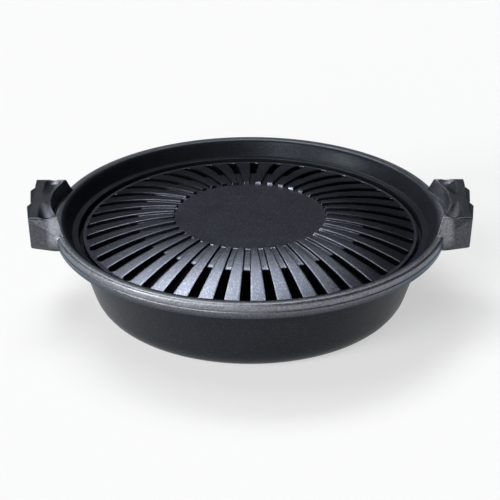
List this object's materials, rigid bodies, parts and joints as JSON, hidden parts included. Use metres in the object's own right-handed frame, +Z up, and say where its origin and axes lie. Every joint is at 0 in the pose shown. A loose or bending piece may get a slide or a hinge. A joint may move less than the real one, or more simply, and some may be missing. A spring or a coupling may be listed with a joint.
{
  "type": "hot pot grill combo",
  "caption": "Round tapered cast pot with two lug handles on its rim, and a drop-in domed grill plate with a flat disc, radial ribs and open slots.",
  "frame": {"origin": "middle of the pot's flat base, which is the middle of the bottom of the whole object's box", "axes": "+Z up, +X along the line through both lug handles, -Y towards the picture's camera"},
  "size_m": [0.3578, 0.317, 0.0885],
  "materials": {
    "pot_coating": "cast aluminium under a matt charcoal non-stick coating with a fine metallic speckle",
    "plate_coating": "cast aluminium under a satin charcoal non-stick coating with a fine metallic speckle"
  },
  "bodies": {
    "pot": {"pot": "pot_coating"},
    "grill_plate": {"grill_plate": "plate_coating"}
  },
  "joints": [
    {"name": "plate_lift", "type": "slide", "parent": "pot", "child": "grill_plate", "axis": [0, 0, 1], "range_m": [0, 0.12]}
  ]
}
